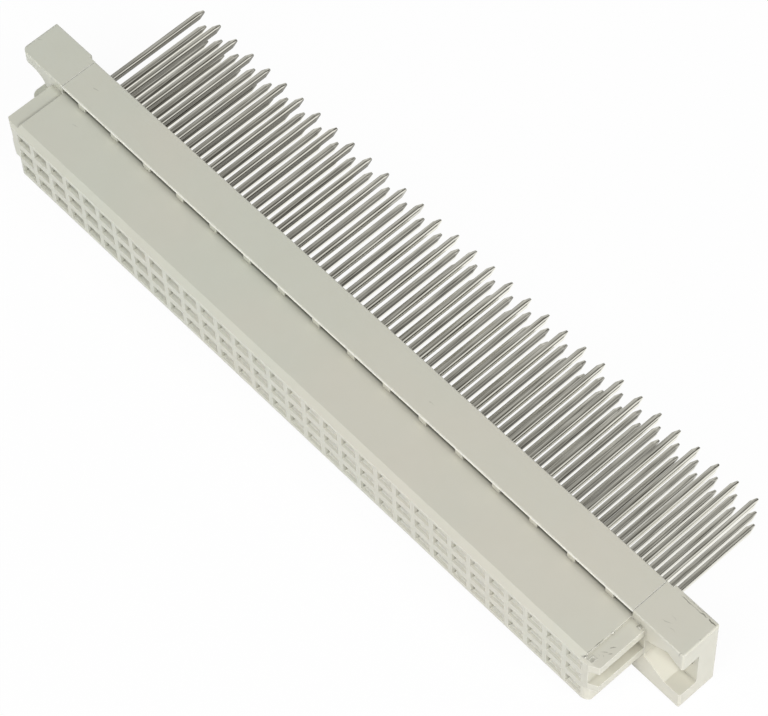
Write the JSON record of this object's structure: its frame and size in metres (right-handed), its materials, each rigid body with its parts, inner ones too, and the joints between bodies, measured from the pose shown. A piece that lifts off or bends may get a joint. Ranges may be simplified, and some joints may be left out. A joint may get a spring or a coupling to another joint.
{
  "type": "female multi-pin connector",
  "caption": "Long moulded female connector: rows of contact chambers in the mating face, a screw ear at each end and square posts for a backplane at the rear.",
  "frame": {"origin": "midway between the two screw holes, in the plane of the ear pads that sit on the board", "axes": "+X along the contact rows, +Y the way the posts leave the rear, into the board, +Z out of the broad side nearest the long end rails; the mating face looks along -Y"},
  "size_m": [0.094, 0.024, 0.0106],
  "materials": {
    "housing_plastic": "glass-filled polyester, light warm grey, fine satin grain",
    "carrier_plastic": "the same polyester as the housing",
    "contact_metal": "stamped copper alloy with a grey tin finish, so it looks like dull silver"
  },
  "bodies": {
    "root": {"contact_column_01": "contact_metal", "contact_column_02": "contact_metal", "contact_column_03": "contact_metal", "contact_column_04": "contact_metal", "contact_column_05": "contact_metal", "contact_column_06": "contact_metal", "contact_column_07": "contact_metal", "contact_column_08": "contact_metal", "contact_column_09": "contact_metal", "contact_column_10": "contact_metal", "contact_column_11": "contact_metal", "contact_column_12": "contact_metal", "contact_column_13": "contact_metal", "contact_column_14": "contact_metal", "contact_column_15": "contact_metal", "contact_column_16": "contact_metal", "contact_column_17": "contact_metal", "contact_column_18": "contact_metal", "contact_column_19": "contact_metal", "contact_column_20": "contact_metal", "contact_column_21": "contact_metal", "contact_column_22": "contact_metal", "contact_column_23": "contact_metal", "contact_column_24": "contact_metal", "contact_column_25": "contact_metal", "contact_column_26": "contact_metal", "contact_column_27": "contact_metal", "contact_column_28": "contact_metal", "contact_column_29": "contact_metal", "contact_column_30": "contact_metal", "contact_column_31": "contact_metal", "contact_column_32": "contact_metal", "front_housing": "housing_plastic", "rear_carrier": "carrier_plastic"}
  },
  "joints": []
}
